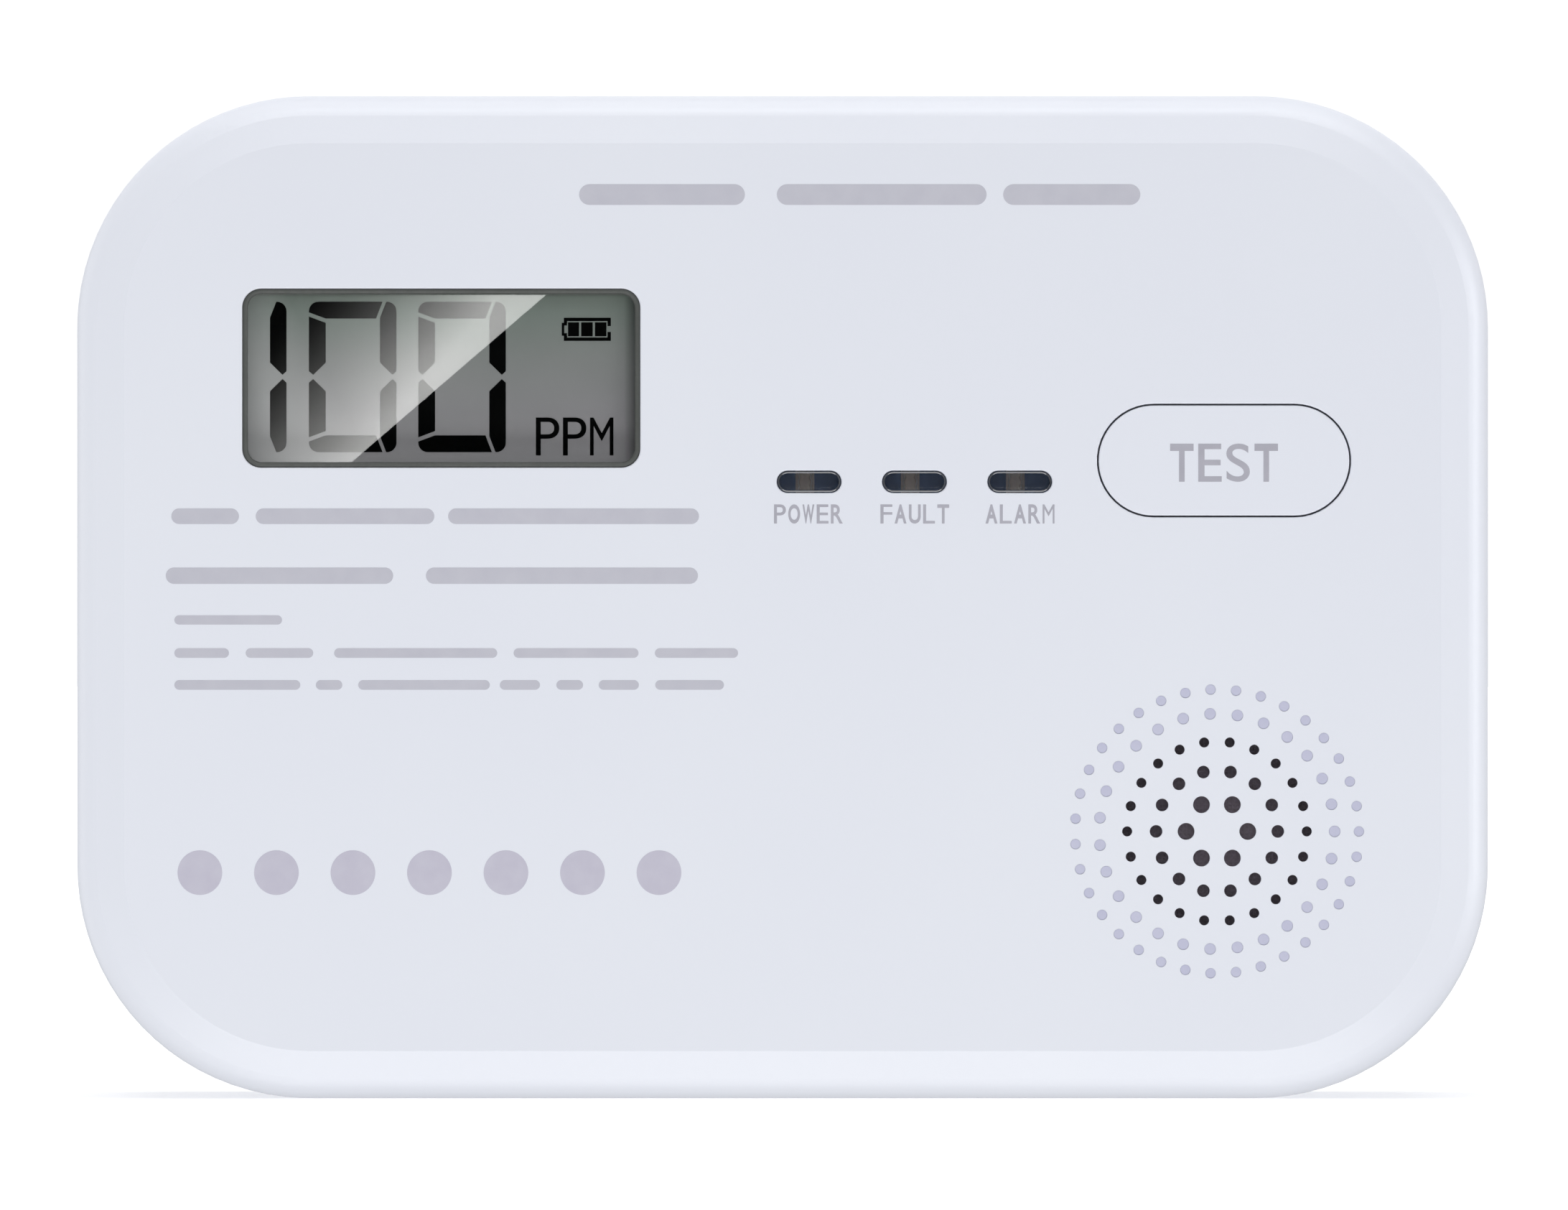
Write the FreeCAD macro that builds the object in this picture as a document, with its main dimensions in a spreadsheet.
"""A battery carbon monoxide alarm for a wall or a shelf, built as its separate pieces.

The origin is the middle of the rear face, which lies on the wall. +X is to the right of a person who
faces the alarm, +Z is up, and the front looks along -Y. "Height" is the distance off the wall, so a
piece at height h stands at y = -h.
"""
import FreeCAD, Part
import math
import os

import Sketcher
from FreeCAD import Placement, Rotation, Vector

doc = FreeCAD.newDocument("carbon_monoxide_alarm")

# ---------------------------------------------------------------- sizes


class Size:
    """A length that carries both its value and the expression that gives it from the sheet."""

    def __init__(self, text, value):
        self.text = text
        self.value = value

    def __float__(self):
        return float(self.value)

    def __str__(self):
        return self.text

    def __neg__(self):
        return Size(f"-({self})", -float(self))

    def __add__(self, other):
        return Size(f"({self} + {other})", float(self) + float(other))

    def __radd__(self, other):
        return Size(f"({other} + {self})", float(other) + float(self))

    def __sub__(self, other):
        return Size(f"({self} - {other})", float(self) - float(other))

    def __rsub__(self, other):
        return Size(f"({other} - {self})", float(other) - float(self))

    def __mul__(self, other):
        return Size(f"({self} * {other})", float(self) * float(other))

    def __rmul__(self, other):
        return Size(f"({other} * {self})", float(other) * float(self))

    def __truediv__(self, other):
        return Size(f"({self} / {other})", float(self) / float(other))


sheet = doc.addObject("Spreadsheet::Sheet", "Sizes")
rows = []


def size(alias, value):
    """Puts one driving size, in millimetres, on the next row of the sheet."""
    rows.append(alias)
    row = len(rows)
    sheet.set(f"A{row}", alias)
    sheet.set(f"B{row}", str(value))
    sheet.setAlias(f"B{row}", alias)
    return Size("Sizes." + alias, value)


# casing
case_wide = size("case_wide", 120.0)
case_tall = size("case_tall", 85.2)
case_deep = size("case_deep", 36.0)
corner = size("corner", 19.7)
wall = size("wall", 2.2)
split = size("split", 17.0)
bevel_wide = size("bevel_wide", 4.05)
bevel_drop = size("bevel_drop", 1.47)
front_round = size("front_round", 2.6)
rear_round = size("rear_round", 2.0)
seam = size("seam", 0.35)
edge_round = size("edge_round", 0.15)
lip_tall = size("lip_tall", 1.9)
lip_thick = size("lip_thick", 0.9)
gap = size("gap", 0.15)

# case screws and the posts they bite into
post_x = size("post_x", 50.2)
post_z = size("post_z", 32.8)
post_radius = size("post_radius", 3.0)
post_foot = size("post_foot", 6.2)
pilot_radius = size("pilot_radius", 1.15)
screw_sink = size("screw_sink", 3.4)
screw_hole_radius = size("screw_hole_radius", 1.65)
screw_head_radius = size("screw_head_radius", 2.7)

# display
display_x = size("display_x", -29.0)
display_z = size("display_z", 18.6)
display_wide = size("display_wide", 33.8)
display_tall = size("display_tall", 15.2)
display_corner = size("display_corner", 1.6)
pane_thick = size("pane_thick", 1.4)
pane_recess = size("pane_recess", 0.3)
pane_round = size("pane_round", 0.4)
glass_wide = size("glass_wide", 38.0)
glass_tall = size("glass_tall", 20.0)
glass_thick = size("glass_thick", 1.1)
glass_ledge = size("glass_ledge", 2.0)
film_thick = size("film_thick", 0.2)

# indicators
lamp_x = size("lamp_x", 11.2)
lamp_z = size("lamp_z", 9.8)
lamp_pitch = size("lamp_pitch", 8.95)
slot_wide = size("slot_wide", 5.5)
slot_tall = size("slot_tall", 1.9)
lamp_offset = size("lamp_offset", 0.35)
lamp_tall = size("lamp_tall", 4.4)

# test button
button_x = size("button_x", 37.5)
button_z = size("button_z", 11.6)
button_wide = size("button_wide", 21.6)
button_tall = size("button_tall", 9.65)
button_gap = size("button_gap", 0.15)
button_travel = size("button_travel", 0.5)
flange_reach = size("flange_reach", 1.1)

# sounder grille
grille_x = size("grille_x", 36.9)
grille_z = size("grille_z", -19.9)
ring_1 = size("ring_1", 2.62)
ring_2 = size("ring_2", 5.17)
ring_3 = size("ring_3", 7.63)
ring_4 = size("ring_4", 10.0)
ring_5 = size("ring_5", 12.06)
hole_1 = size("hole_1", 0.72)
hole_2 = size("hole_2", 0.54)
hole_3 = size("hole_3", 0.43)
hole_4 = size("hole_4", 0.49)
hole_5 = size("hole_5", 0.44)
dimple_deep = size("dimple_deep", 0.45)
horn_radius = size("horn_radius", 15.2)
horn_wall = size("horn_wall", 1.4)
horn_foot = size("horn_foot", 27.4)
piezo_radius = size("piezo_radius", 13.5)
piezo_height = size("piezo_height", 31.1)

# circuit board
board_wide = size("board_wide", 108.0)
board_top = size("board_top", 29.4)
board_bottom = size("board_bottom", -3.4)
board_front = size("board_front", 27.0)
board_thick = size("board_thick", 1.6)
board_post_radius = size("board_post_radius", 2.4)

# battery bay, for two AA cells side by side
cell_radius = size("cell_radius", 7.25)
cell_long = size("cell_long", 50.5)
cell_gap = size("cell_gap", 0.5)
bay_x = size("bay_x", -28.0)
bay_z = size("bay_z", -3.6)
bay_wide = size("bay_wide", 30.0)
bay_long = size("bay_long", 55.6)
bay_floor = size("bay_floor", 17.5)
bay_wall = size("bay_wall", 1.5)

# battery door
door_margin = size("door_margin", 1.2)
door_thick = size("door_thick", 1.7)
door_sink = size("door_sink", 0.15)
door_gap = size("door_gap", 0.2)
hinge_height = size("hinge_height", 1.25)
knuckle_radius = size("knuckle_radius", 1.1)
hinge_pin_radius = size("hinge_pin_radius", 0.75)
hinge_pin_long = size("hinge_pin_long", 1.3)

# hanging on the wall
keyhole_x = size("keyhole_x", 30.0)
keyhole_z = size("keyhole_z", 31.2)
keyhole_radius = size("keyhole_radius", 3.75)
hang_slot_radius = size("hang_slot_radius", 2.1)
hang_rise = size("hang_rise", 4.6)
hang_deep = size("hang_deep", 6.0)

# gas cell
sensor_x = size("sensor_x", 22.0)
sensor_z = size("sensor_z", 13.0)
sensor_radius = size("sensor_radius", 10.0)
sensor_long = size("sensor_long", 16.0)

# wiring
lead_radius = size("lead_radius", 0.6)

# battery springs
spring_wire = size("spring_wire", 0.35)
spring_radius = size("spring_radius", 4.2)
spring_tall = size("spring_tall", 3.8)
spring_taper = size("spring_taper", 1.4)

doc.recompute()

# ---------------------------------------------------------------- shared ways of building


def bind(thing, **sizes):
    """Ties properties of a feature to sizes."""
    for name, length in sizes.items():
        thing.setExpression(name, str(length))
    return thing


parts = []


def sub_part(thing, label):
    """Makes this object a piece of the assembly, under the name that its file gets."""
    thing.Label = label
    parts.append(thing)
    return thing


def new_body(label):
    return sub_part(doc.addObject("PartDesign::Body", label + "_body"), label)


def sketch_on(body, role, x, y, offset):
    """An empty sketch on one of the body's origin planes, with its own origin moved by x, y and offset."""
    sketch = body.newObject("Sketcher::SketchObject", "outline")
    plane = next(f for f in body.Origin.OriginFeatures if f.Role == role)
    sketch.AttachmentSupport = [(plane, "")]
    sketch.MapMode = "FlatFace"
    for axis, length in zip("xyz", (x, y, offset)):
        sketch.setExpression(f"AttachmentOffset.Base.{axis}", str(length))
    return sketch


def face_sketch(body, x, z, height):
    """A sketch parallel to the wall, at that height off it. Its normal points to the front."""
    return sketch_on(body, "XZ_Plane", x, z, height)


def fix(sketch, name, length, *constraint):
    """Adds a dimension to the sketch and ties it to the sheet."""
    index = sketch.addConstraint(Sketcher.Constraint(*constraint, float(length)))
    sketch.renameConstraint(index, name)
    sketch.setExpression("Constraints." + name, str(length))


def draw_circle(sketch, radius, x=0, y=0):
    name = f"circle_{sketch.GeometryCount}"
    centre = Vector(float(x), float(y), 0)
    index = sketch.addGeometry(Part.Circle(centre, Vector(0, 0, 1), float(radius)))
    fix(sketch, name + "_radius", radius, "Radius", index)
    for axis, length, along, line in (("x", x, "DistanceX", -2), ("y", y, "DistanceY", -1)):
        if float(length):
            fix(sketch, f"{name}_{axis}", length, along, -1, 1, index, 3)
        else:
            sketch.addConstraint(Sketcher.Constraint("PointOnObject", index, 3, line))


def draw_box(sketch, wide, tall):
    """A rectangle centred on the sketch's origin."""
    w, t = float(wide) / 2, float(tall) / 2
    corners = [Vector(-w, -t, 0), Vector(w, -t, 0), Vector(w, t, 0), Vector(-w, t, 0)]
    first = sketch.GeometryCount
    for i in range(4):
        sketch.addGeometry(Part.LineSegment(corners[i], corners[(i + 1) % 4]))
    for i in range(4):
        sketch.addConstraint(Sketcher.Constraint("Coincident", first + i, 2, first + (i + 1) % 4, 1))
        sketch.addConstraint(Sketcher.Constraint(("Horizontal", "Vertical")[i % 2], first + i))
    sketch.addConstraint(Sketcher.Constraint("Symmetric", first, 1, first + 2, 1, -1, 1))
    fix(sketch, f"wide_{first}", wide, "DistanceX", first, 1, first, 2)
    fix(sketch, f"tall_{first}", tall, "DistanceY", first + 1, 1, first + 1, 2)


def draw_rounded_box(sketch, wide, tall, radius):
    """A rectangle with round corners, centred on the sketch's origin."""
    w, t, r = float(wide) / 2, float(tall) / 2, float(radius)
    first = sketch.GeometryCount
    quarter = math.pi / 2
    for i, (sx, sy) in enumerate(((1, -1), (1, 1), (-1, 1), (-1, -1))):
        centre = Vector(sx * (w - r), sy * (t - r), 0)
        circle = Part.Circle(centre, Vector(0, 0, 1), r)
        start = (i - 1) * quarter
        sketch.addGeometry(Part.ArcOfCircle(circle, start, start + quarter))
    sides = [
        (Vector(w, r - t, 0), Vector(w, t - r, 0)),
        (Vector(w - r, t, 0), Vector(r - w, t, 0)),
        (Vector(-w, t - r, 0), Vector(-w, r - t, 0)),
        (Vector(r - w, -t, 0), Vector(w - r, -t, 0)),
    ]
    for ends in sides:
        sketch.addGeometry(Part.LineSegment(*ends))
    for i in range(4):
        arc, side, following = first + i, first + 4 + i, first + (i + 1) % 4
        sketch.addConstraint(Sketcher.Constraint("Tangent", arc, 2, side, 1))
        sketch.addConstraint(Sketcher.Constraint("Tangent", side, 2, following, 1))
        sketch.addConstraint(Sketcher.Constraint(("Vertical", "Horizontal")[i % 2], side))
        if i:
            sketch.addConstraint(Sketcher.Constraint("Equal", first, arc))
    sketch.addConstraint(Sketcher.Constraint("Symmetric", first, 3, first + 2, 3, -1, 1))
    fix(sketch, f"radius_{first}", radius, "Radius", first)
    fix(sketch, f"wide_{first}", wide, "DistanceX", first + 6, 1, first + 4, 2)
    fix(sketch, f"tall_{first}", tall, "DistanceY", first + 7, 1, first + 5, 2)


def draw_stadium(sketch, wide, tall):
    """A slot with round ends that lies along the sketch's x, centred on its origin."""
    w, r = float(wide - tall) / 2, float(tall) / 2
    first = sketch.GeometryCount
    for sx, start in ((1, -math.pi / 2), (-1, math.pi / 2)):
        circle = Part.Circle(Vector(sx * w, 0, 0), Vector(0, 0, 1), r)
        sketch.addGeometry(Part.ArcOfCircle(circle, start, start + math.pi))
    sketch.addGeometry(Part.LineSegment(Vector(w, r, 0), Vector(-w, r, 0)))
    sketch.addGeometry(Part.LineSegment(Vector(-w, -r, 0), Vector(w, -r, 0)))
    right, left, top, bottom = range(first, first + 4)
    for one, two in ((right, top), (top, left), (left, bottom), (bottom, right)):
        sketch.addConstraint(Sketcher.Constraint("Tangent", one, 2, two, 1))
    sketch.addConstraint(Sketcher.Constraint("Horizontal", top))
    sketch.addConstraint(Sketcher.Constraint("Symmetric", right, 3, left, 3, -1, 1))
    fix(sketch, f"half_tall_{first}", tall / 2, "Radius", right)
    fix(sketch, f"apart_{first}", wide - tall, "DistanceX", left, 3, right, 3)


def pad(sketch, length, to_wall=False):
    """Adds material from the sketch, towards the front unless to_wall is set."""
    feature = sketch.getParent().newObject("PartDesign::Pad", "pad")
    feature.Profile = sketch
    feature.Reversed = to_wall
    return finish(bind(feature, Length=length))


def pocket(sketch, length=None, to_front=False):
    """Cuts from the sketch towards the wall, or to the front, by a length or right through."""
    feature = sketch.getParent().newObject("PartDesign::Pocket", "pocket")
    feature.Profile = sketch
    feature.Reversed = to_front
    if length is None:
        feature.Type = "ThroughAll"
    else:
        bind(feature, Length=length)
    return finish(feature)


def finish(feature):
    """Builds a feature at once, and stops if it is broken or if it changes nothing."""
    body = feature.getParent()
    before = feature.BaseFeature.Shape.Volume if feature.BaseFeature else 0.0
    body.Tip = feature
    doc.recompute()
    if "Invalid" in feature.State or "Error" in feature.State or feature.Shape.isNull():
        raise RuntimeError(f"{body.Label}: {feature.Name} failed: {feature.State}")
    if abs(feature.Shape.Volume - before) < 1e-6:
        raise RuntimeError(f"{body.Label}: {feature.Name} changes nothing")
    return feature


def repeat_round(feature, sketch, count):
    """Repeats a feature evenly round the origin of its sketch."""
    pattern = feature.getParent().newObject("PartDesign::PolarPattern", "ring")
    pattern.Originals = [feature]
    pattern.Axis = (sketch, ["N_Axis"])
    pattern.Angle = 360
    pattern.Occurrences = count
    return finish(pattern)


def repeat_along(feature, sketch, axis, length, count):
    pattern = feature.getParent().newObject("PartDesign::LinearPattern", "row")
    pattern.Originals = [feature]
    pattern.Direction = (sketch, [axis])
    pattern.Occurrences = count
    return finish(bind(pattern, Length=length))


def edges_where(shape, test):
    """The names of the edges of which every end and middle passes the test."""
    names = []
    for index, edge in enumerate(shape.Edges, start=1):
        low, high = edge.ParameterRange
        points = [edge.valueAt(low + (high - low) * share) for share in (0.0, 0.5, 1.0)]
        if all(test(point) for point in points):
            names.append(f"Edge{index}")
    return names


def dress(kind, feature, test, **sizes):
    """A fillet or chamfer on the edges of a feature that pass the test."""
    names = edges_where(feature.Shape, test)
    made = feature.getParent().newObject("PartDesign::" + kind, kind.lower())
    made.Base = (feature, names)
    for name, value in sizes.items():
        if name in ("Radius", "Size", "Size2"):
            made.setExpression(name, str(value))
        else:
            setattr(made, name, value)
    return finish(made)


def at_height(height, inside=None):
    """A test for points at a height off the wall and, if inside is given, near the case's outline."""
    level = -float(height)
    return lambda p: abs(p.y - level) < 1e-4 and (inside is None or inside(p))


def on_outline(p):
    """Whether a point is on the outline of the case, seen from the front."""
    radius = float(corner)
    dx = abs(p.x) - float(case_wide / 2 - corner)
    dz = abs(p.z) - float(case_tall / 2 - corner)
    reach = math.hypot(dx, dz) if dx > 0 and dz > 0 else max(dx, dz)
    return abs(reach - radius) < 1e-3


def inside_band(p):
    """Whether a point is on the flat face, clear of the sloping band round it."""
    half_w, half_t = float(case_wide / 2 - 2 * bevel_wide), float(case_tall / 2 - 2 * bevel_wide)
    return abs(p.x) < half_w and abs(p.z) < half_t


def draw_outline(sketch, inset=0):
    draw_rounded_box(sketch, case_wide - 2 * inset, case_tall - 2 * inset, corner - inset)


def draw_four_posts(sketch, radius):
    for x in (post_x, -post_x):
        for y in (post_z, -post_z):
            draw_circle(sketch, radius, x, y)


def move(thing, x, z, height):
    for axis, length in (("x", x), ("y", -height), ("z", z)):
        thing.setExpression("Placement.Base." + axis, str(length))
    return thing


def facing(thing, x, z, height):
    """Stands a Part object with its own z towards the front and its origin at x, z and that height."""
    thing.Placement = Placement(Vector(), Rotation(Vector(1, 0, 0), 90))
    return move(thing, x, z, height)


def block(x, z, height, wide, tall, deep):
    """A box centred on x and z, standing on that height."""
    box = doc.addObject("Part::Box", "block")
    bind(box, Length=wide, Width=tall, Height=deep)
    return facing(box, x - wide / 2, z - tall / 2, height)


def disc(x, z, height, radius, deep):
    cylinder = doc.addObject("Part::Cylinder", "disc")
    bind(cylinder, Radius=radius, Height=deep)
    return facing(cylinder, x, z, height)


def cone(x, z, height, foot, top, deep):
    shape = doc.addObject("Part::Cone", "cone")
    bind(shape, Radius1=foot, Radius2=top, Height=deep)
    return facing(shape, x, z, height)


def upright(x, z, height, radius, tall):
    """A cylinder that stands along Z, its lower end at z."""
    cylinder = doc.addObject("Part::Cylinder", "rod")
    bind(cylinder, Radius=radius, Height=tall)
    return move(cylinder, x, z, height)


def fused(*shapes):
    union = doc.addObject("Part::MultiFuse", "union")
    union.Shapes = list(shapes)
    return union


def cut(base, *tools):
    difference = doc.addObject("Part::Cut", "difference")
    difference.Base = base
    difference.Tool = tools[0] if len(tools) == 1 else fused(*tools)
    return difference


def group(*shapes):
    """Separate solids that share one node."""
    compound = doc.addObject("Part::Compound", "group")
    compound.Links = list(shapes)
    return compound


# ---------------------------------------------------------------- front cover


def build_front_cover():
    """White ABS moulding: the face, its windows and grille, the posts and the sounder's horn."""
    body = new_body("front_cover")
    sketch = face_sketch(body, 0, 0, split)
    draw_outline(sketch)
    shell = pad(sketch, case_deep - split)
    shell = dress(
        "Chamfer",
        shell,
        at_height(case_deep),
        ChamferType="Two distances",
        Size=bevel_drop,
        Size2=bevel_wide,
        FlipDirection=False,
    )
    shell = dress("Fillet", shell, at_height(case_deep - bevel_drop, on_outline), Radius=front_round)

    sketch = face_sketch(body, 0, 0, case_deep - wall)
    draw_outline(sketch, wall)
    pocket(sketch)
    sketch = face_sketch(body, 0, 0, split + lip_tall + gap)
    draw_outline(sketch, wall - lip_thick - gap)
    shell = pocket(sketch)
    dress("Chamfer", shell, at_height(split, on_outline), Size=seam)

    cut_front_windows(body)
    cut_grille(body)
    add_cover_posts(body)
    add_horn(body)
    add_button_collar(body)


def cut_front_windows(body):
    sketch = face_sketch(body, display_x, display_z, case_deep)
    draw_rounded_box(sketch, display_wide, display_tall, display_corner)
    pocket(sketch, wall + 1)
    sketch = face_sketch(body, lamp_x - lamp_pitch, lamp_z, case_deep)
    draw_stadium(sketch, slot_wide, slot_tall)
    slot = pocket(sketch, wall + 1)
    repeat_along(slot, sketch, "H_Axis", 2 * lamp_pitch, 3)
    sketch = face_sketch(body, button_x, button_z, case_deep)
    draw_stadium(sketch, button_wide, button_tall)
    windows = pocket(sketch, wall + 1)
    dress("Fillet", windows, at_height(case_deep, inside_band), Radius=edge_round)


def cut_grille(body):
    """Three rings of through holes, with two rings of blind dimples round them."""
    rings = (
        (ring_1, hole_1, wall + 1, 6),
        (ring_2, hole_2, wall + 1, 14),
        (ring_3, hole_3, wall + 1, 22),
        (ring_4, hole_4, dimple_deep, 27),
        (ring_5, hole_5, dimple_deep, 35),
    )
    for ring, hole, deep, count in rings:
        sketch = face_sketch(body, grille_x, grille_z, case_deep)
        draw_circle(sketch, hole, ring)
        repeat_round(pocket(sketch, deep), sketch, count)


def add_cover_posts(body):
    sketch = face_sketch(body, 0, 0, case_deep - wall)
    draw_four_posts(sketch, post_radius)
    pad(sketch, case_deep - wall - post_foot, to_wall=True)
    sketch = face_sketch(body, 0, 0, post_foot)
    draw_four_posts(sketch, pilot_radius)
    pocket(sketch, 14, to_front=True)
    for x, z in BOARD_POSTS:
        sketch = face_sketch(body, x, z, case_deep - wall)
        draw_circle(sketch, board_post_radius)
        pad(sketch, case_deep - wall - board_front, to_wall=True)
        sketch = face_sketch(body, x, z, board_front)
        draw_circle(sketch, 0.85)
        pocket(sketch, 5, to_front=True)


BOARD_POSTS = ((-51.3, -0.2), (51.3, -0.2), (2, 25.6))


def add_horn(body):
    """The ring that the sounder is clipped into, with the shoulder its disc rests on."""
    for inner, outer, foot in (
        (horn_radius - horn_wall, horn_radius, horn_foot),
        (piezo_radius - 1.3, horn_radius - horn_wall + 0.1, piezo_height + 0.2),
    ):
        sketch = face_sketch(body, grille_x, grille_z, case_deep - wall)
        draw_circle(sketch, outer)
        draw_circle(sketch, inner)
        pad(sketch, case_deep - wall - foot, to_wall=True)


def add_button_collar(body):
    """A wall round the button's flange, which keeps the button square as it travels."""
    sketch = face_sketch(body, button_x, button_z, case_deep - wall)
    reach = 2 * (flange_reach + 0.35)
    draw_stadium(sketch, button_wide + reach, button_tall + reach)
    draw_stadium(sketch, button_wide + reach + 2.4, button_tall + reach + 2.4)
    pad(sketch, 3.2, to_wall=True)


# ---------------------------------------------------------------- rear housing


def build_rear_housing():
    """White ABS moulding: rear wall, battery bay, keyholes, screw wells and side vents."""
    body = new_body("rear_housing")
    sketch = face_sketch(body, 0, 0, 0)
    draw_outline(sketch)
    shell = pad(sketch, split)
    shell = dress("Fillet", shell, at_height(0, on_outline), Radius=rear_round)
    sketch = face_sketch(body, 0, 0, split)
    draw_outline(sketch, wall)
    shell = pocket(sketch, split - wall)
    dress("Chamfer", shell, at_height(split, on_outline), Size=seam)
    sketch = face_sketch(body, 0, 0, split)
    draw_outline(sketch, wall - lip_thick)
    draw_outline(sketch, wall)
    pad(sketch, lip_tall)

    add_battery_bay(body)
    add_screw_wells(body)
    add_keyholes(body)
    cut_vents(body)
    sketch = face_sketch(body, LABEL_X, LABEL_Z, 0)
    draw_rounded_box(sketch, LABEL_WIDE + 0.6, LABEL_TALL + 0.6, 1.5)
    pocket(sketch, 0.2, to_front=True)


LABEL_X, LABEL_Z, LABEL_WIDE, LABEL_TALL = 28, -4, 42, 44
DOOR_WIDE = bay_wide + 2 * door_margin
DOOR_BOTTOM = bay_z - bay_long / 2 - 2.5
DOOR_TOP = bay_z + bay_long / 2 + door_margin
HINGE_Z = DOOR_BOTTOM + knuckle_radius + door_gap


def add_battery_bay(body):
    """A tray for the cells, open to the rear, with a sunk ledge for the door and seats for its hinge."""
    sketch = face_sketch(body, bay_x, bay_z, wall)
    draw_box(sketch, bay_wide + 2 * bay_wall, bay_long + 2 * bay_wall)
    pad(sketch, bay_floor + bay_wall - 0.1 - wall)
    sketch = face_sketch(body, bay_x, DOOR_BOTTOM + 2.0, wall)
    draw_box(sketch, DOOR_WIDE + 5.6, 5.0)
    pad(sketch, 2.4)
    sketch = face_sketch(body, bay_x, bay_z, 0)
    draw_box(sketch, bay_wide, bay_long)
    pocket(sketch, bay_floor, to_front=True)
    sketch = face_sketch(body, bay_x, (DOOR_BOTTOM + DOOR_TOP) / 2, 0)
    draw_box(sketch, DOOR_WIDE, DOOR_TOP - DOOR_BOTTOM)
    pocket(sketch, door_sink + door_thick + gap, to_front=True)
    sketch = face_sketch(body, bay_x, DOOR_BOTTOM + 1.3, 0)
    draw_box(sketch, DOOR_WIDE, 2.6)
    pocket(sketch, hinge_height + knuckle_radius + door_gap, to_front=True)
    sketch = sketch_on(body, "YZ_Plane", -hinge_height, HINGE_Z, bay_x)
    draw_circle(sketch, hinge_pin_radius + 0.08)
    seat = pocket(sketch, DOOR_WIDE + 2 * hinge_pin_long + 0.6, to_front=False)
    seat.Midplane = True
    finish(seat)
    # the notch that the door's catch snaps into
    sketch = face_sketch(body, bay_x, DOOR_TOP - 0.1, 0)
    draw_box(sketch, 8.6, 1.6)
    pocket(sketch, 3.4, to_front=True)
    # slots that the contact tabs pass through on their way to the board
    for x in (POSITIVE_X, NEGATIVE_X):
        sketch = face_sketch(body, x, TAB_Z, bay_floor - 1)
        draw_box(sketch, 3.0, 0.9)
        pocket(sketch, 4, to_front=True)


POSITIVE_X = bay_x - cell_radius - cell_gap / 2
NEGATIVE_X = bay_x + cell_radius + cell_gap / 2
SPRING_TURNS = 4
TAB_Z = bay_z + bay_long / 2 - 0.35


def add_screw_wells(body):
    sketch = face_sketch(body, 0, 0, wall - 0.1)
    draw_four_posts(sketch, post_radius + 0.9)
    pad(sketch, post_foot - gap - wall + 0.1)
    sketch = face_sketch(body, 0, 0, 0)
    draw_four_posts(sketch, screw_head_radius + 0.3)
    pocket(sketch, screw_sink, to_front=True)
    sketch = face_sketch(body, 0, 0, 0)
    draw_four_posts(sketch, screw_hole_radius)
    pocket(sketch, post_foot + 1, to_front=True)


def add_keyholes(body):
    """Two keyholes, each with a closed pocket behind it that keeps the wall screw off the electronics."""
    for x in (-keyhole_x, keyhole_x):
        middle = keyhole_z + hang_rise / 2 - 0.4
        wide, tall = 2 * keyhole_radius + 1.4, 2 * keyhole_radius + hang_rise + 0.3
        sketch = face_sketch(body, x, middle, wall - 0.1)
        draw_box(sketch, wide + 2, tall + 2)
        pad(sketch, hang_deep + 1 - wall + 0.1)
        sketch = face_sketch(body, x, middle, wall)
        draw_box(sketch, wide, tall)
        pocket(sketch, hang_deep - wall, to_front=True)
        sketch = face_sketch(body, x, keyhole_z, 0)
        draw_circle(sketch, keyhole_radius)
        pocket(sketch, wall, to_front=True)
        sketch = sketch_on(body, "XZ_Plane", x, keyhole_z + hang_rise / 2, 0)
        sketch.AttachmentOffset = Placement(Vector(), Rotation(Vector(0, 0, 1), 90))
        draw_stadium(sketch, hang_rise + 2 * hang_slot_radius, 2 * hang_slot_radius)
        pocket(sketch, wall, to_front=True)


def cut_vents(body):
    """Seven slots in each side wall, which let the room's air reach the gas cell."""
    for offset, inward in ((case_wide / 2, False), (-case_wide / 2, True)):
        sketch = sketch_on(body, "YZ_Plane", -9.5, -12, offset)
        draw_stadium(sketch, 9, 1.6)
        slot = pocket(sketch, wall + 0.2, to_front=inward)
        repeat_along(slot, sketch, "V_Axis", 24, 7)


# ---------------------------------------------------------------- battery door


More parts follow.
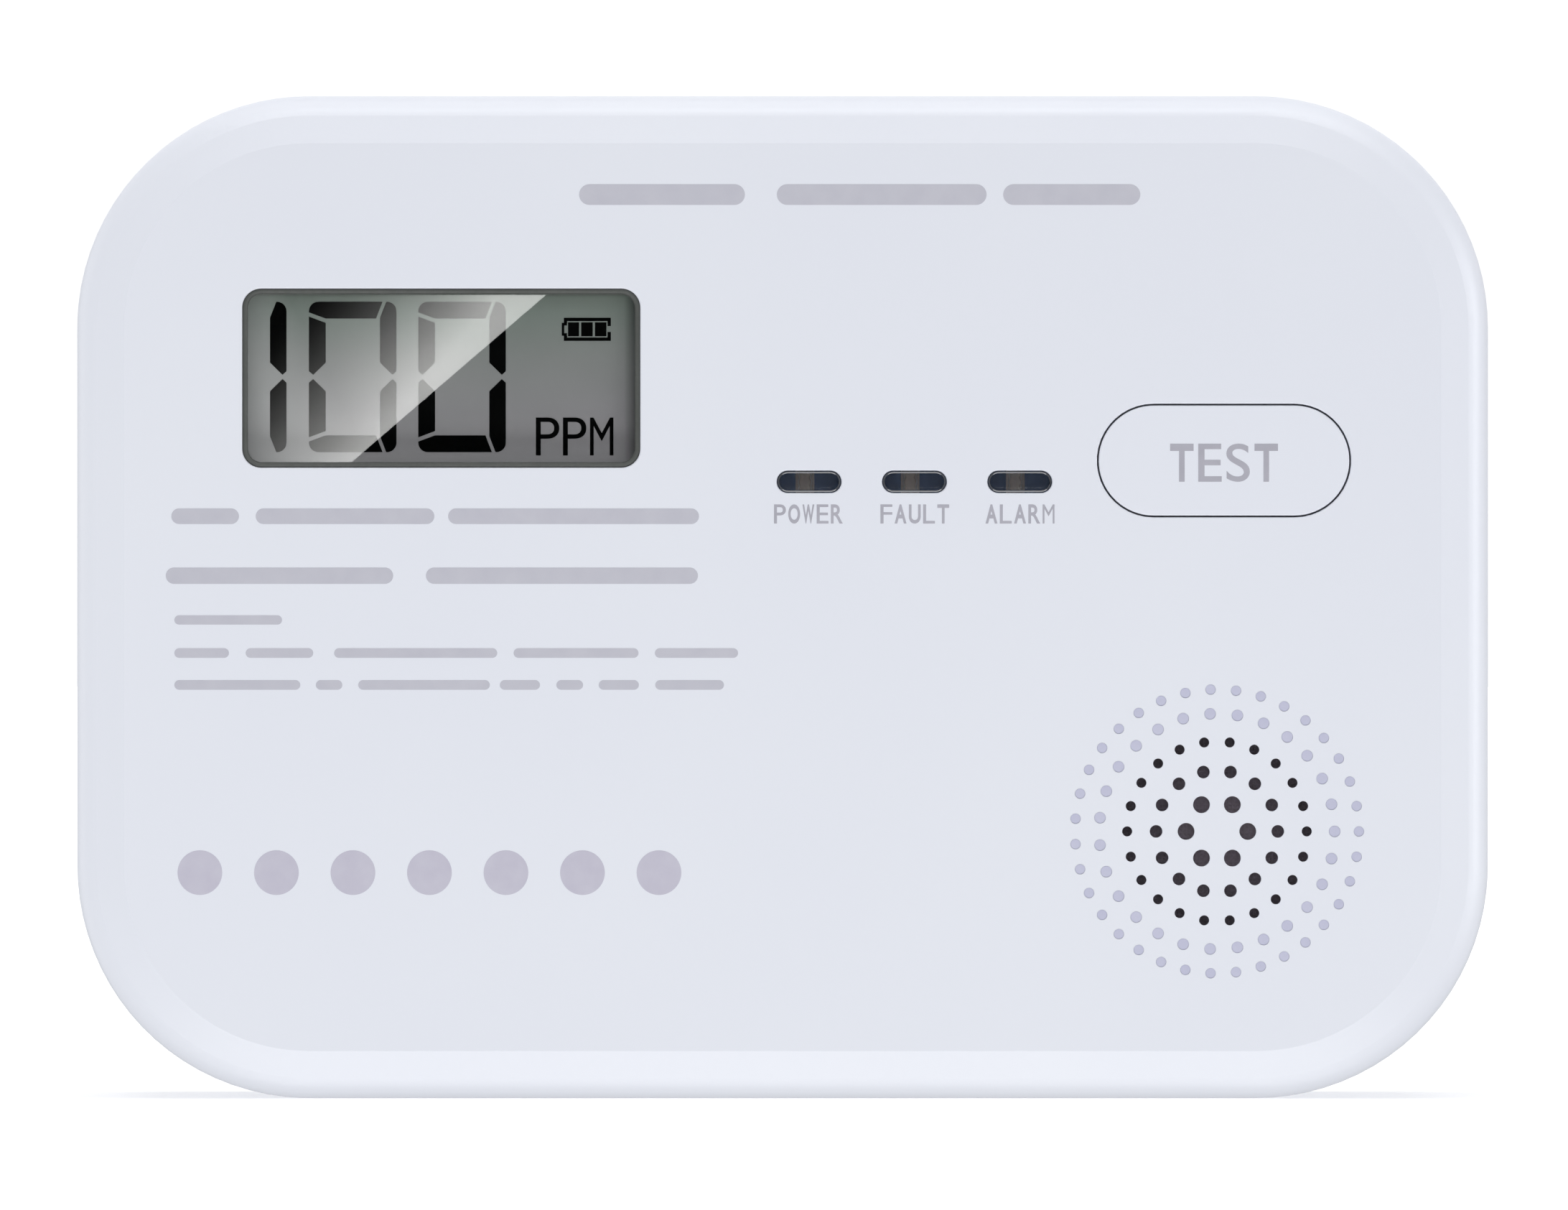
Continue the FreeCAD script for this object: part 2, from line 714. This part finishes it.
def build_battery_door():
    """The lid of the bay: a plate with a rolled lower edge, two hinge pins and a snap tongue."""
    body = new_body("battery_door")
    wide = DOOR_WIDE - 2 * door_gap
    top, bottom = (DOOR_TOP - door_gap), HINGE_Z
    sketch = face_sketch(body, bay_x, (top + bottom) / 2, door_sink)
    draw_box(sketch, wide, top - bottom)
    pad(sketch, door_thick)
    sketch = sketch_on(body, "YZ_Plane", -hinge_height, HINGE_Z, bay_x)
    draw_circle(sketch, knuckle_radius)
    knuckle = pad(sketch, wide)
    knuckle.Midplane = True
    finish(knuckle)
    sketch = sketch_on(body, "YZ_Plane", -hinge_height, HINGE_Z, bay_x)
    draw_circle(sketch, hinge_pin_radius)
    pins = pad(sketch, wide + 2 * hinge_pin_long)
    pins.Midplane = True
    finish(pins)
    # the snap tongue, freed from the plate by a slit down each side, with its catch and finger lip
    for side in (-1, 1):
        sketch = face_sketch(body, bay_x + side * 5.2, top - 4, 0)
        draw_box(sketch, 0.8, 9.0)
        pocket(sketch, door_sink + door_thick + 1, to_front=True)
    sketch = face_sketch(body, bay_x, top + 0.2, door_sink + 0.9)
    draw_box(sketch, 7.6, 1.0)
    pad(sketch, 2.0)
    sketch = face_sketch(body, bay_x, top - 3.2, door_sink)
    draw_stadium(sketch, 7.0, 3.4)
    pocket(sketch, 0.7, to_front=True)
    # three ribs inside press the cells towards the tray
    for z in (bay_z - 16, bay_z, bay_z + 13):
        sketch = face_sketch(body, bay_x, z, door_sink + door_thick)
        draw_box(sketch, 6.0, 1.2)
        pad(sketch, 0.7)


# ---------------------------------------------------------------- display


def build_display():
    """Clear pane, dark holder, and the liquid-crystal cell with its films and rubber connector."""
    x, z = display_x, display_z
    body = new_body("display_window")
    sketch = face_sketch(body, x, z, case_deep - wall - 1.0)
    draw_rounded_box(sketch, display_wide + 3.4, display_tall + 3.4, display_corner + 1)
    pad(sketch, 1.0 - 0.05)
    sketch = face_sketch(body, x, z, case_deep - wall - 0.1)
    draw_rounded_box(sketch, display_wide - 0.1, display_tall - 0.1, display_corner - 0.05)
    pane = pad(sketch, wall + 0.1 - pane_recess)
    dress("Fillet", pane, at_height(case_deep - pane_recess), Radius=pane_round)

    top = case_deep - wall - 1.1
    body = new_body("display_holder")
    sketch = face_sketch(body, x, z, board_front + 0.05)
    draw_rounded_box(sketch, glass_wide + 3, glass_tall + 3, 1.2)
    pad(sketch, top - board_front - 0.05)
    sketch = face_sketch(body, x, z, top - 0.35)
    draw_box(sketch, glass_wide + 0.4, glass_tall + 0.4)
    pocket(sketch)
    sketch = face_sketch(body, x, z, top)
    draw_rounded_box(sketch, display_wide + 0.5, display_tall + 0.5, display_corner)
    pocket(sketch, 0.6)

    upper = top - 0.4 - film_thick - glass_thick
    lower = upper - glass_thick
    short = glass_tall - glass_ledge
    raised = display_z + glass_ledge / 2
    sub_part(block(x, z, upper, glass_wide, glass_tall, glass_thick), "display_front_glass")
    sub_part(block(x, raised, lower, glass_wide, short, glass_thick), "display_rear_glass")
    film_wide, film_tall = glass_wide - 1, short - 0.6
    sub_part(
        block(x, raised, upper + glass_thick, film_wide, film_tall, film_thick),
        "display_polariser",
    )
    sub_part(
        block(x, raised, lower - film_thick, film_wide, film_tall, film_thick),
        "display_reflector",
    )
    sub_part(
        block(
            x,
            display_z - glass_tall / 2 + 1.0,
            board_front,
            glass_wide - 4,
            1.6,
            upper - board_front,
        ),
        "display_connector",
    )


# ---------------------------------------------------------------- indicators


def build_indicators():
    """Three clear lenses, the three tall lamps close behind them and the black baffle between them."""
    openings = []
    for place, name in ((-1, "power"), (0, "fault"), (1, "alarm")):
        x = lamp_x + place * lamp_pitch
        body = new_body(name + "_lens")
        sketch = face_sketch(body, x, lamp_z, case_deep - wall - 1.0)
        draw_stadium(sketch, slot_wide + 1.4, slot_tall + 1.4)
        pad(sketch, 0.95)
        sketch = face_sketch(body, x, lamp_z, case_deep - wall - 0.1)
        draw_stadium(sketch, slot_wide - 0.14, slot_tall - 0.14)
        dome = pad(sketch, wall + 0.1 - 0.3)
        dress("Fillet", dome, at_height(case_deep - 0.3), Radius=0.55)

        package = block(x - lamp_offset, lamp_z, board_front, 1.6, 3.0, lamp_tall)
        cup = cone(x - lamp_offset, lamp_z, board_front + lamp_tall - 0.5, 0.45, 0.68, 0.6)
        sub_part(cut(package, cup), name + "_lamp")
        openings.append(block(x, lamp_z, board_front - 1, 5.6, 3.9, 9))
    tall = case_deep - wall - 1.1 - board_front
    frame = block(lamp_x, lamp_z, board_front, 2 * lamp_pitch + 7.4, 6.2, tall)
    sub_part(cut(frame, *openings), "lamp_baffle")


# ---------------------------------------------------------------- test button and its switch


def build_button():
    """The button cap, and the tactile switch under it: base, metal cover and stem."""
    x, z = button_x, button_z
    flange_foot = case_deep - wall - 1.3
    body = new_body("test_button")
    sketch = face_sketch(body, x, z, flange_foot)
    draw_stadium(sketch, button_wide + 2 * flange_reach, button_tall + 2 * flange_reach)
    pad(sketch, 1.2)
    sketch = face_sketch(body, x, z, flange_foot + 1.1)
    draw_stadium(sketch, button_wide - 2 * button_gap, button_tall - 2 * button_gap)
    cap = pad(sketch, case_deep - flange_foot - 1.1)
    dress("Fillet", cap, at_height(case_deep), Radius=edge_round)
    sketch = face_sketch(body, x, z, flange_foot)
    draw_stadium(sketch, button_wide - 4, button_tall - 4)
    pocket(sketch, 2.0, to_front=True)
    sketch = face_sketch(body, x, z, SWITCH_TOP)
    draw_circle(sketch, 2.2)
    pad(sketch, flange_foot + 2.2 - SWITCH_TOP)

    base = block(x, z, board_front, 6.0, 6.0, 3.0)
    bore = disc(x, z, board_front + 1.6, 1.9, 2)
    sub_part(cut(base, bore), "switch_base")
    cover = block(x, z, board_front + 3.0, 6.2, 6.2, 0.3)
    window = disc(x, z, board_front + 2, 1.95, 2)
    sub_part(cut(cover, window), "switch_cover")
    stem_foot = board_front + 2.05 + button_travel
    collar = disc(x, z, stem_foot, 1.8, 0.4)
    stem = disc(x, z, stem_foot, 1.6, SWITCH_TOP - stem_foot)
    sub_part(fused(collar, stem), "switch_stem")
    sub_part(cone(x, z, board_front + 1.6, 1.75, 1.1, 0.4), "switch_dome")


SWITCH_TOP = board_front + 4.3


# ---------------------------------------------------------------- sounder


def build_sounder():
    """Dust gauze, brass disc with its ceramic, foam ring and the cap that clips into the horn."""
    x, z = grille_x, grille_z
    sub_part(disc(x, z, case_deep - wall - 0.35, piezo_radius - 1.4, 0.3), "dust_gauze")
    sub_part(disc(x, z, piezo_height, piezo_radius, 0.2), "sounder_plate")
    sub_part(disc(x, z, piezo_height - 0.25, 9.5, 0.25), "sounder_ceramic")
    ring = disc(x, z, piezo_height - 1.5, piezo_radius, 1.5)
    hollow = disc(x, z, piezo_height - 2, piezo_radius - 2.2, 3)
    sub_part(cut(ring, hollow), "sounder_foam")
    cap = disc(x, z, horn_foot - 0.2, piezo_radius + 0.2, piezo_height - 1.5 - horn_foot + 0.2)
    cup = disc(x, z, horn_foot + 1, piezo_radius - 2.2, 6)
    passage = block(x, z + 9, horn_foot - 2, 7, 4.4, 6)
    sub_part(cut(cap, cup, passage), "sounder_cap")


# ---------------------------------------------------------------- circuit board and what it carries


def build_board():
    """Glass-fibre board, fixed to the cover by three screws, with its components on the rear side."""
    middle = (board_top + board_bottom) / 2
    body = new_body("main_board")
    sketch = face_sketch(body, 0, middle, board_front - board_thick)
    draw_rounded_box(sketch, board_wide, board_top - board_bottom, 2.5)
    pad(sketch, board_thick)
    for x, z in BOARD_POSTS:
        sketch = face_sketch(body, x, z, board_front - board_thick)
        draw_circle(sketch, 1.2)
        pocket(sketch, board_thick + 1, to_front=True)

    rear = board_front - board_thick
    screws = []
    for x, z in BOARD_POSTS:
        head = disc(x, z, rear - 1.3, 2.0, 1.3)
        shank = disc(x, z, rear, 0.8, 5.6)
        driver = cross_recess(x, z, rear - 1.31, 2.2, 0.7)
        screws.append(cut(fused(head, shank), *driver))
    sub_part(group(*screws), "board_screws")

    chip = block(-2, 12, rear - 1.7, 7.5, 10, 1.6)
    mark = disc(-4.4, 15.6, rear - 1.9, 0.5, 0.5)
    sub_part(cut(chip, mark), "controller_chip")
    legs = [
        block(-2 + side * 4.45, 12 + step * 1.0, rear - 0.9, 1.4, 0.4, 0.9)
        for side in (-1, 1)
        for step in range(-4, 5)
    ]
    sub_part(group(*legs), "controller_pins")
    amplifier = block(4, -0.2, rear - 1.4, 4, 3.0, 1.4)
    boost = block(-16, 0.2, rear - 1.4, 3, 3.0, 1.4)
    sub_part(group(amplifier, boost), "small_chips")
    cans = []
    for x, z in ((40.5, 24.6), (-48.5, 14)):
        can = disc(x, z, rear - 5.4, 3.15, 5.4)
        groove = cut(disc(x, z, rear - 1.5, 3.3, 0.5), disc(x, z, rear - 1.6, 2.95, 0.7))
        cans.append(cut(can, groove))
    sub_part(group(*cans), "electrolytic_capacitors")
    passives = [
        block(-44 + column * 4.2, 2.2 + row * 3.0, rear - 0.6, 2.0, 1.2, 0.6)
        for column in range(6)
        for row in range(2)
    ]
    passives += [
        block(38.5 + column * 3.4, -0.6, rear - 0.6, 2.0, 1.2, 0.6)
        for column in range(3)
    ]
    sub_part(group(*passives), "chip_resistors")
    foot = disc(40, 14.5, rear - 1.2, 4.0, 1.2)
    drum = disc(40, 14.5, rear - 4.2, 2.4, 3.0)
    head = disc(40, 14.5, rear - 5.4, 4.0, 1.2)
    sub_part(fused(foot, drum, head), "sounder_coil_core")
    winding = disc(40, 14.5, rear - 4.15, 3.6, 2.9)
    hole = disc(40, 14.5, rear - 5, 2.45, 5)
    sub_part(cut(winding, hole), "sounder_coil_winding")


def cross_recess(x, z, height, across, deep):
    """The two crossed slots of a screw head, cut from its rear."""
    return (
        block(x, z, height, across, 0.6, deep),
        block(x, z, height, 0.6, across, deep),
    )


def build_case_screws():
    screws = []
    for x in (-post_x, post_x):
        for z in (-post_z, post_z):
            head = disc(x, z, screw_sink - 1.9, screw_head_radius, 1.9)
            shank = disc(x, z, screw_sink - 0.1, pilot_radius - 0.05, 12.1)
            tip = cone(x, z, screw_sink + 12, pilot_radius - 0.05, 0.3, 1.2)
            driver = cross_recess(x, z, screw_sink - 1.91, 3.2, 1.1)
            screws.append(cut(fused(head, shank, tip), *driver))
    sub_part(group(*screws), "case_screws")


# ---------------------------------------------------------------- gas cell


def build_gas_cell():
    """The electrochemical cell on its socket behind the board, with its cap and carbon filter."""
    x, z = sensor_x, sensor_z
    rear = board_front - board_thick
    socket = disc(x, z, rear - 2.0, sensor_radius + 0.6, 2.0)
    sub_part(socket, "sensor_socket")
    can_foot = rear - 2.0 - sensor_long
    can = disc(x, z, can_foot, sensor_radius, sensor_long)
    bead = cut(
        disc(x, z, rear - 6.0, sensor_radius + 1, 0.8),
        disc(x, z, rear - 6.5, sensor_radius - 0.4, 2),
    )
    seat = disc(x, z, can_foot - 1, sensor_radius - 3.5, 2.2)
    sub_part(cut(can, bead, seat), "sensor_can")
    sub_part(disc(x, z, can_foot + 0.6, sensor_radius - 3.55, 0.55), "sensor_filter")
    cap = disc(x, z, can_foot - 0.8, sensor_radius + 0.5, 3.2)
    inside = disc(x, z, can_foot, sensor_radius + 0.02, 4)
    mouth = disc(x, z, can_foot - 2, 3.2, 4)
    sub_part(cut(cap, inside, mouth), "sensor_cap")


# ---------------------------------------------------------------- batteries and contacts


def build_batteries():
    """Two AA cells in opposite directions, the bridge at the foot of the bay and a contact each on top."""
    foot = bay_z - bay_long / 2 + 0.5
    height = bay_floor - 0.2 - cell_radius
    body_long = cell_long - 1.2
    spring_long = 3.9
    for x, label, lower, nub in (
        (POSITIVE_X, "left_battery", foot + spring_long, foot + spring_long + body_long),
        (NEGATIVE_X, "right_battery", foot + 1.2, foot),
    ):
        can = upright(x, lower, height, cell_radius, body_long)
        terminal = upright(x, nub, height, 2.7, 1.2)
        sub_part(fused(can, terminal), label)

    thick = 0.4
    bridge = block(bay_x, bay_z - bay_long / 2 + 0.25, 4.2, bay_wide - 2, thick, 12.8)
    sub_part(bridge, "bridge_contact")
    for x, label in ((POSITIVE_X, "positive_contact"), (NEGATIVE_X, "negative_contact")):
        plate = block(x, TAB_Z, 4.2, 11, thick, 13.0)
        tab = block(x, TAB_Z, bay_floor - 1, 2.4, thick, 4.6)
        sub_part(fused(plate, tab), label)
    sub_part(contact_spring(POSITIVE_X, foot, height, 1), "bridge_spring")
    sub_part(contact_spring(NEGATIVE_X, TAB_Z - thick / 2, height, -1), "negative_spring")


def contact_spring(x, z, height, way):
    """A conical spring that starts at z, wide on its contact plate and narrow at the cell."""
    wire = sheet.spring_wire
    rise = sheet.spring_tall - 2 * wire
    steps = SPRING_TURNS * 8
    points = []
    for step in range(steps + 1):
        angle = 2 * math.pi * SPRING_TURNS * step / steps
        reach = sheet.spring_radius - sheet.spring_taper * step / steps
        points.append(Vector(reach * math.cos(angle), reach * math.sin(angle), rise * step / steps))
    spring = doc.addObject("Part::Feature", "spring")
    spring.Shape = bent_tube(points, wire)[0]
    base = at(x, z + way * spring_wire, height)
    spring.Placement = Placement(base, Rotation(Vector(1, 0, 0), 0 if way > 0 else 180))
    return spring


# ---------------------------------------------------------------- wiring


def bent_tube(points, radius):
    """A round tube along straight runs joined by tangent arcs, each as large as its two runs allow."""
    edges, start, bends = [], points[0], []
    for before, turning, after in zip(points, points[1:], points[2:]):
        back, on = before - turning, after - turning
        reach = 0.45 * min(back.Length, on.Length)
        turn = math.pi - back.getAngle(on)
        bend = reach / math.tan(turn / 2)
        enter = turning + back.normalize() * reach
        leave = turning + on.normalize() * reach
        middle = turning + (back + on).normalize() * (bend / math.cos(turn / 2) - bend)
        edges.append(Part.LineSegment(start, enter).toShape())
        edges.append(Part.Arc(enter, middle, leave).toShape())
        bends.append(bend)
        start = leave
    edges.append(Part.LineSegment(start, points[-1]).toShape())
    path = Part.Wire(edges)
    section = Part.Wire(Part.makeCircle(radius, points[0], points[1] - points[0]))
    return path.makePipeShell([section], True, False), path.Length, bends


def lead(points, label):
    """An insulated wire from a contact or the sounder to the board."""
    tube, length, bends = bent_tube(points, sheet.lead_radius)
    share = tube.Volume / (math.pi * sheet.lead_radius**2 * length)
    print(f"{label}: {length:.1f} mm, radii {[round(bend, 1) for bend in bends]}, volume {share:.3f}")
    wire = doc.addObject("Part::Feature", label + "_wire")
    wire.Shape = tube
    wire.Placement = Placement()
    return sub_part(wire, label)


def at(x, z, height):
    return Vector(float(x), -float(height), float(z))


def build_leads():
    rear = board_front - board_thick
    top = bay_floor + bay_wall
    beside = TAB_Z + 0.2 + lead_radius
    for tab_x, end_x, label in (
        (POSITIVE_X, -23.5, "battery_lead_positive"),
        (NEGATIVE_X, -9.5, "battery_lead_negative"),
    ):
        points = [
            at(tab_x + 0.2, beside, top + 1.1),
            at(tab_x + 0.2, beside + 3.3, top + 1.3),
            at(end_x - 5.8, beside + 2.8, top + 2.4),
            at(end_x - 1.2, beside - 0.8, top + 2.8),
            at(end_x, beside - 3.8, rear - 2.4),
            at(end_x, beside - 3.8, rear),
        ]
        lead(points, label)
    for x, reach, foot, label in (
        (grille_x - 2, 10.2, piezo_height, "sounder_lead_plate"),
        (grille_x + 2, 8.0, piezo_height - 0.25, "sounder_lead_ceramic"),
    ):
        points = [
            at(x, grille_z + reach, foot),
            at(x, grille_z + reach, horn_foot - 1.6),
            at(x, grille_z + 13.5, horn_foot - 5.4),
            at(x, board_bottom + 3.6, rear - 3.8),
            at(x, board_bottom + 6.0, rear - 2.2),
            at(x, board_bottom + 6.0, rear),
        ]
        lead(points, label)


def build_label():
    body = new_body("rating_label")
    sketch = face_sketch(body, LABEL_X, LABEL_Z, 0.1)
    draw_rounded_box(sketch, LABEL_WIDE, LABEL_TALL, 1.2)
    pad(sketch, 0.1)


# ---------------------------------------------------------------- build, check and write


def check_and_write():
    doc.recompute()
    for thing in doc.Objects:
        if "Invalid" in thing.State or "Error" in thing.State:
            raise RuntimeError(f"{thing.Name} is {thing.State}")
    os.makedirs("parts", exist_ok=True)
    for old in os.listdir("parts"):
        if old.endswith(".step"):
            os.remove(os.path.join("parts", old))
    for thing in parts:
        shape = thing.Shape
        if shape.isNull() or not shape.isValid() or not shape.Solids:
            raise RuntimeError(f"{thing.Label} has no valid shape")
        shape.exportStep(os.path.join("parts", thing.Label + ".step"))
        print(f"{thing.Label}: {len(shape.Solids)} solid(s), {shape.Volume:.1f} mm3")


build_front_cover()
build_rear_housing()
build_battery_door()
build_display()
build_indicators()
build_button()
build_sounder()
build_board()
build_case_screws()
build_gas_cell()
build_batteries()
build_leads()
build_label()
check_and_write()
